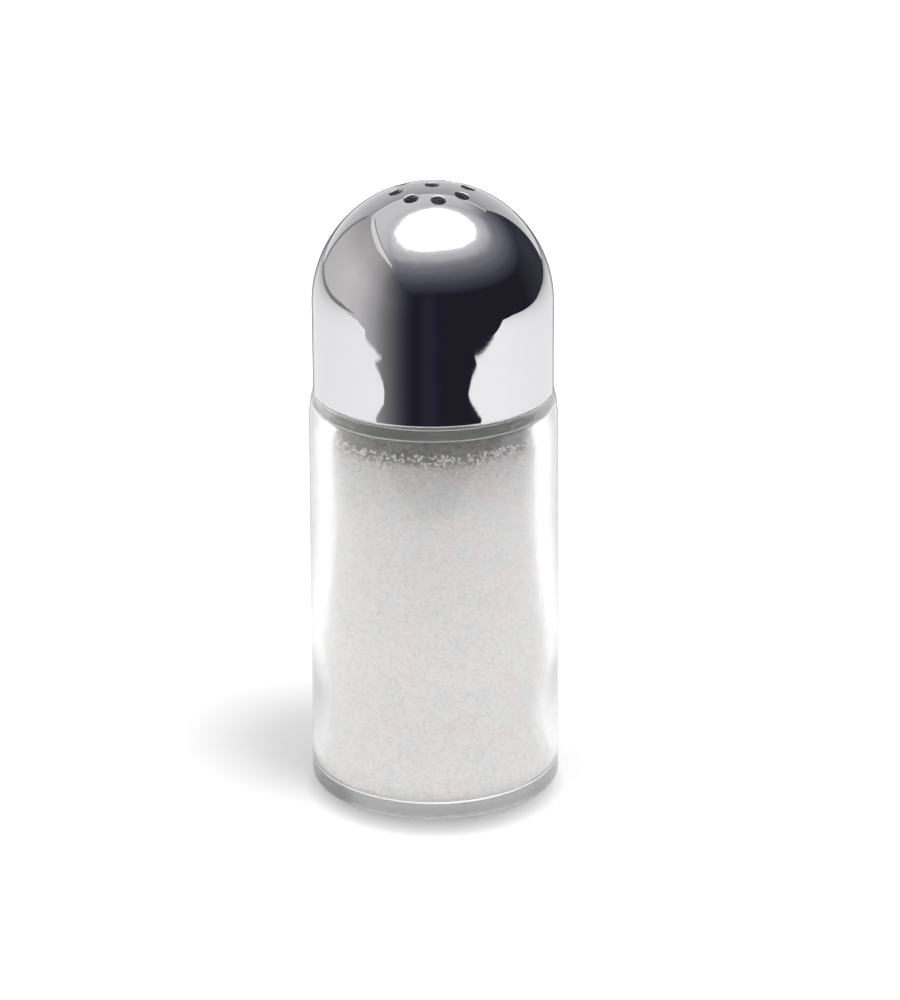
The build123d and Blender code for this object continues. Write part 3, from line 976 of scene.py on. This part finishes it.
# Stainless steel, drawn and mirror-polished: a clean mirror with faint rings from the polishing wheel.
# Real polishing lines are far finer, so they are drawn as coarse as they need to show.
def polishedSteel():
    material, tree = newMaterial("stainless steel, drawn and mirror-polished")
    squash = cap["lineLength"] / cap["linePitch"]
    stretched = addNode(
        tree, "ShaderNodeVectorMath", {0: measure(tree)["place"], 1: (1, 1, squash)}, operation="MULTIPLY",
    )
    lines = addNode(
        tree, "ShaderNodeTexNoise",
        {"Vector": stretched, "Scale": 1 / cap["lineLength"], "Detail": 4.0, "Roughness": 0.6},
    )
    rough = addNode(tree, "ShaderNodeMapRange", {"Value": lines, "To Min": 0.015, "To Max": 0.03})
    fine = addNode(tree, "ShaderNodeBump", {"Height": lines, "Strength": 0.04, "Distance": 0.01 * mm})
    steel = addNode(
        tree, "ShaderNodeBsdfPrincipled",
        {"Base Color": linear(cap["steelColour"]), "Metallic": 1.0, "Roughness": rough, "Normal": fine},
    )
    addNode(tree, "ShaderNodeOutputMaterial", {"Surface": steel})
    return material


# The inside is left as it was drawn: grey, and soft enough to spread the light of the holes.
# The grain of the sheet is finer in fact, and is drawn as coarse as it needs to show.
def satinSteel():
    material, tree = newMaterial("stainless steel, drawn, unpolished")
    grain = addNode(
        tree, "ShaderNodeTexNoise",
        {"Vector": measure(tree)["place"], "Scale": 1 / cap["sheetGrain"], "Detail": 3.0},
    )
    bump = addNode(tree, "ShaderNodeBump", {"Height": grain, "Strength": 0.2, "Distance": 0.02 * mm})
    steel = addNode(
        tree, "ShaderNodeBsdfPrincipled",
        {"Base Color": linear(cap["insideColour"]), "Metallic": 1.0, "Roughness": 0.5, "Normal": bump},
    )
    addNode(tree, "ShaderNodeOutputMaterial", {"Surface": steel})
    return material


def ballNormal(point):
    return (Vector(point) - Vector((0, 0, cap["rim"] + cap["skirt"]))).normalized()


def buildCap():
    skin = Skin()
    outer, inner = cap["radius"], cap["radius"] - cap["steel"]
    equator = cap["rim"] + cap["skirt"]
    easing = [0, 15, 30, 45, 60, 75, 90]
    centres = holeCentres()

    def outerCorner(place):  # a corner on the outside, lowered and tilted round a hole
        nearest = min(centres, key=lambda c: (place - c).length)
        away = place - nearest
        into = cap["hole"] + cap["holeEdge"] - away.length
        height = capDome(outer, place)
        if into <= 1e-6:
            point = Vector((place.x, place.y, height))
            return point, ballNormal(point)
        tilt = math.asin(min(into / cap["holeEdge"], 1))
        drop = cap["holeEdge"] * (1 - math.cos(tilt))
        normal = ballNormal((place.x, place.y, height)) * math.cos(tilt)
        normal -= Vector((away.x, away.y, 0)).normalized() * math.sin(tilt)
        return Vector((place.x, place.y, height - drop)), normal.normalized()

    def innerCorner(place):
        point = Vector((place.x, place.y, capDome(inner, place)))
        return point, -ballNormal(point)

    places, triangles = crownPlan(easing, 0.42)
    for triangle in triangles:
        skin.add([outerCorner(places[i]) for i in triangle])
        skin.add([innerCorner(places[i]) for i in reversed(triangle)], 1)
    for centre in centres:
        around = [
            centre + Vector((math.cos(a), math.sin(a))) * cap["hole"]
            for a in np.linspace(0, 2 * math.pi, cap["holeSegments"], endpoint=False)
        ]
        for k, here in enumerate(around):
            there = around[(k + 1) % len(around)]
            wall = []
            ends = (here, there, there, here)
            sources = (outerCorner, outerCorner, innerCorner, innerCorner)
            for place, source in zip(ends, sources):
                inward = (centre - place).to_3d().normalized()
                wall.append((source(place)[0], inward))
            skin.add(wall, 1)

    def lathe(profile, finish):  # profile holds (radius, height, normal radius, normal height)
        turns = np.linspace(0, 2 * math.pi, cap["segments"] + 1)
        turns[-1] = 0
        for (r0, z0, a0, b0), (r1, z1, a1, b1) in zip(profile, profile[1:]):
            for start, end in zip(turns, turns[1:]):
                cs, ss, ce, se = math.cos(start), math.sin(start), math.cos(end), math.sin(end)
                skin.add([
                    (Vector((r0 * cs, r0 * ss, z0)), Vector((a0 * cs, a0 * ss, b0))),
                    (Vector((r0 * ce, r0 * se, z0)), Vector((a0 * ce, a0 * se, b0))),
                    (Vector((r1 * ce, r1 * se, z1)), Vector((a1 * ce, a1 * se, b1))),
                    (Vector((r1 * cs, r1 * ss, z1)), Vector((a1 * cs, a1 * ss, b1))),
                ], finish)

    def domeSide(radius, sign, steps=56):
        start = math.asin(cap["crown"] / radius)
        points = []
        for i in range(steps + 1):
            angle = start + (math.pi / 2 - start) * i / steps
            points.append((
                radius * math.sin(angle), equator + radius * math.cos(angle),
                sign * math.sin(angle), sign * math.cos(angle),
            ))
        return points

    bead = cap["rimRadius"]
    outside = domeSide(outer, 1)
    outside += [(outer, equator - (cap["skirt"] - bead) * i / 12, 1, 0) for i in range(1, 13)]
    middle, beadTop = [], cap["rim"] + bead
    for a in np.linspace(0, math.pi / 2, 7)[1:]:
        c, s = math.cos(a), math.sin(a)
        middle.append((outer - bead + bead * c, beadTop - bead * s, c, -s))
    for a in np.linspace(0, math.pi / 2, 7):
        c, s = math.cos(a), math.sin(a)
        middle.append((inner + bead - bead * s, beadTop - bead * c, -s, -c))
    inside = [(inner, beadTop + (cap["skirt"] - bead) * i / 6, -1, 0) for i in range(1, 7)]
    inside += domeSide(inner, -1)[::-1][1:]
    lathe((outside + middle)[::-1], 0)
    lathe([middle[-1], *inside][::-1], 1)
    piece = skin.build("domeCap", [polishedSteel(), satinSteel()])
    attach(piece, "cap")
    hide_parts("dome_cap")


buildCap()
print("cap built")


# Insert and seal
insert = {
    "colour": "E6E9E4",
    "rim": "989C96",        # painted shade on the open end, which the ledge of the jar shows
    "shadedRimTop": 68.4, "shadedRimReach": (16.65, 17.0),  # it lies below this height, and sets in between these radii
    "grain": 0.4,           # texture of the mould
}
seal = {"colour": "EDEDEA", "cell": 0.25}


# Polypropylene, moulded: satin and slightly milky, with painted shade on the open end.
# A mould's texture is finer in fact, and is drawn as coarse as it needs to show.
def mouldedPlastic():
    material, tree = newMaterial("polypropylene, moulded satin")
    at = measure(tree)
    grain = addNode(
        tree, "ShaderNodeTexNoise", {"Vector": at["place"], "Scale": 1 / insert["grain"], "Detail": 2.0},
    )
    bump = addNode(tree, "ShaderNodeBump", {"Height": grain, "Strength": 0.15, "Distance": 0.02 * mm})
    # painted shade on the open end: low down and beyond a radius, the colour turns grey
    start, full = insert["shadedRimReach"]
    wide = addNode(tree, "ShaderNodeMapRange", {"Value": at["far"], "From Min": start, "From Max": full})
    low = addNode(tree, "ShaderNodeMath", {0: at["z"], 1: insert["shadedRimTop"]}, operation="LESS_THAN")
    rim = addNode(tree, "ShaderNodeMath", {0: low, 1: wide}, operation="MULTIPLY")
    colour = addNode(
        tree, "ShaderNodeMix", {0: rim, 6: linear(insert["colour"]), 7: linear(insert["rim"])},
        data_type="RGBA",
    )
    skin = addNode(
        tree, "ShaderNodeBsdfPrincipled",
        {
            "Base Color": colour, "Roughness": 0.4, "Normal": bump, "Subsurface Weight": 0.1,
            "Subsurface Radius": (1 * mm, 1 * mm, 1 * mm),
        },
    )
    addNode(tree, "ShaderNodeOutputMaterial", {"Surface": skin})
    return material


def foamSeal():  # expanded polyethylene, die-cut: matt, with fine cells
    material, tree = newMaterial("expanded polyethylene, die-cut")
    cells = addNode(
        tree, "ShaderNodeTexVoronoi", {"Vector": measure(tree)["place"], "Scale": 1 / seal["cell"]},
    )
    bump = addNode(
        tree, "ShaderNodeBump",
        {"Height": cells.outputs["Distance"], "Strength": 0.3, "Distance": 0.05 * mm},
    )
    skin = addNode(
        tree, "ShaderNodeBsdfPrincipled",
        {"Base Color": linear(seal["colour"]), "Roughness": 0.7, "Normal": bump},
    )
    addNode(tree, "ShaderNodeOutputMaterial", {"Surface": skin})
    return material


def dressNode(name, material):  # a CAD node keeps its mesh and gets its finish
    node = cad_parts[name]
    node.data.materials.clear()
    node.data.materials.append(material)


dressNode("threaded_insert", mouldedPlastic())
dressNode("seal_ring", foamSeal())
print("insert and seal finished")
